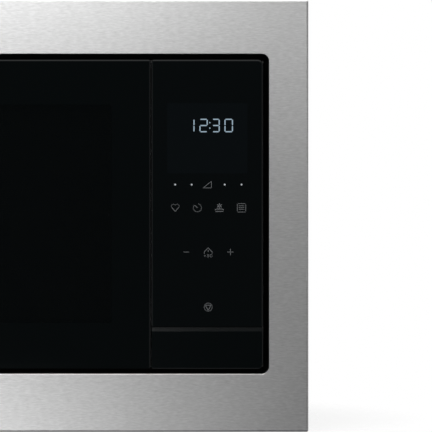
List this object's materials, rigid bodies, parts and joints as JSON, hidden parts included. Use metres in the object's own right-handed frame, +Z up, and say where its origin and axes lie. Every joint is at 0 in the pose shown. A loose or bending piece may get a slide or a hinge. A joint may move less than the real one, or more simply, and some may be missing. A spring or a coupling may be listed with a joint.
{
  "type": "built-in microwave",
  "caption": "Built-in microwave oven with a brushed steel trim frame, a side-hinged dark glass door, a touch panel, a push button that opens the door, and a turntable.",
  "frame": {"origin": "on the back plane of the trim frame, which sits on the cabinet front, at mid width and at the level of the shelf under the feet", "axes": "+X to the right seen from the front, +Y back into the cabinet, +Z up"},
  "size_m": [0.595, 0.3918, 0.388],
  "materials": {
    "brushed_steel": "fine brushed, satin",
    "black_moulding": "fine textured black moulding",
    "zinc_steel": "zinc coated sheet",
    "black_glass": "black backed glass with a ground bevel",
    "door_glass": "dark tinted glass with a ground bevel",
    "black_button": "gloss black",
    "clear_window": "clear",
    "tray_glass": "clear, pressed",
    "grey_enamel": "grey oven paint",
    "black_paint": "black paint",
    "casing_paint": "fine textured dark paint",
    "natural_plastic": "natural white moulding",
    "black_plastic": "moulded",
    "green_board": "circuit board",
    "spring_steel": "drawn wire",
    "screw_steel": "plated",
    "mica": "pressed mica sheet",
    "copper": "enamelled copper wire",
    "core_steel": "varnished laminations",
    "aluminium": "mill",
    "rubber": "moulded"
  },
  "bodies": {
    "chassis": {"air_duct": "black_plastic", "back_panel": "zinc_steel", "base_plate": "zinc_steel", "button_spring": "spring_steel", "capacitor": "aluminium", "capacitor_clamp": "zinc_steel", "cavity_back": "grey_enamel", "cavity_floor": "grey_enamel", "cavity_vents": "grey_enamel", "cavity_wrap": "grey_enamel", "control_board": "green_board", "cord_grommet": "rubber", "display_module": "black_plastic", "fan_motor": "core_steel", "fan_shroud": "black_plastic", "feet": "black_plastic", "filter_board": "green_board", "front_plate": "grey_enamel", "hinge_lower": "zinc_steel", "hinge_upper": "zinc_steel", "hv_diode": "black_plastic", "inner_frame": "black_moulding", "latch_board": "natural_plastic", "magnetron_antenna": "spring_steel", "magnetron_filter_box": "zinc_steel", "magnetron_fins": "aluminium", "magnetron_yoke": "zinc_steel", "microswitches": "black_plastic", "outer_casing": "casing_paint", "oven_lamp": "natural_plastic", "panel_glass": "black_glass", "panel_housing": "black_moulding", "screws": "screw_steel", "side_rail": "black_moulding", "thermal_cutouts": "black_plastic", "transformer_core": "core_steel", "transformer_windings": "copper", "trim_braces": "zinc_steel", "trim_frame": "brushed_steel", "turntable_motor": "zinc_steel", "waveguide": "zinc_steel", "waveguide_cover": "mica"},
    "door": {"door_glass": "door_glass", "door_frame": "black_moulding", "door_panel": "black_paint", "choke_cover": "black_plastic", "inner_window": "clear_window", "latch_spring": "spring_steel"},
    "door_latch": {"door_latch": "natural_plastic"},
    "open_button": {"open_button": "black_button"},
    "release_lever": {"release_lever": "natural_plastic"},
    "switch_plungers": {"switch_plungers": "natural_plastic"},
    "turntable": {"turntable_shaft": "natural_plastic", "turntable_coupler": "natural_plastic", "glass_tray": "tray_glass"},
    "roller_ring": {"roller_ring": "natural_plastic"},
    "roller_a": {"roller_a": "natural_plastic"},
    "roller_b": {"roller_b": "natural_plastic"},
    "roller_c": {"roller_c": "natural_plastic"},
    "fan": {"fan_blade": "natural_plastic"}
  },
  "joints": [
    {"name": "door_hinge", "type": "hinge", "parent": "chassis", "child": "door", "pos_m": [-0.2485, -0.0135, 0.19175], "axis": [0, 0, -1], "range_deg": [0, 95]},
    {"name": "button_press", "type": "slide", "parent": "chassis", "child": "open_button", "axis": [0, 1, 0], "range_m": [0, 0.005], "stiffness_N_per_m": 700, "springref_m": -0.002, "deforming": ["button_spring"]},
    {"name": "lever_tilt", "type": "hinge", "parent": "chassis", "child": "release_lever", "pos_m": [0.15, 0.04405, 0.112], "axis": [-1, 0, 0], "range_deg": [0, 16]},
    {"name": "latch_lift", "type": "slide", "parent": "door", "child": "door_latch", "axis": [0, 0, 1], "range_m": [0, 0.0043], "deforming": ["latch_spring"]},
    {"name": "plunger_rise", "type": "slide", "parent": "chassis", "child": "switch_plungers", "axis": [0, 0, 1], "range_m": [0, 0.0013]},
    {"name": "turntable_spin", "type": "hinge", "parent": "chassis", "child": "turntable", "pos_m": [-0.045, 0.178, 0.09], "axis": [0, 0, 1], "continuous": true},
    {"name": "roller_ring_spin", "type": "hinge", "parent": "chassis", "child": "roller_ring", "pos_m": [-0.045, 0.178, 0.09], "axis": [0, 0, 1], "continuous": true},
    {"name": "fan_spin", "type": "hinge", "parent": "chassis", "child": "fan", "pos_m": [0.191, 0.335, 0.1812], "axis": [0, 1, 0], "continuous": true},
    {"name": "roller_a_spin", "type": "hinge", "parent": "roller_ring", "child": "roller_a", "pos_m": [0.06, 0.178, 0.0923], "axis": [1, 0, 0], "continuous": true},
    {"name": "roller_b_spin", "type": "hinge", "parent": "roller_ring", "child": "roller_b", "pos_m": [-0.0975, 0.26893, 0.0923], "axis": [-0.5, 0.866, 0], "continuous": true},
    {"name": "roller_c_spin", "type": "hinge", "parent": "roller_ring", "child": "roller_c", "pos_m": [-0.0975, 0.08707, 0.0923], "axis": [-0.5, -0.866, 0], "continuous": true}
  ],
  "couplings": [
    {"joint": "lever_tilt", "follows": "button_press", "rad_per_m": 55.556},
    {"joint": "latch_lift", "follows": "button_press", "ratio": 0.84},
    {"joint": "plunger_rise", "follows": "button_press", "ratio": 0.24},
    {"joint": "roller_ring_spin", "follows": "turntable_spin", "ratio": 0.5},
    {"joint": "roller_a_spin", "follows": "turntable_spin", "ratio": -6.5625},
    {"joint": "roller_b_spin", "follows": "turntable_spin", "ratio": -6.5625},
    {"joint": "roller_c_spin", "follows": "turntable_spin", "ratio": -6.5625}
  ]
}
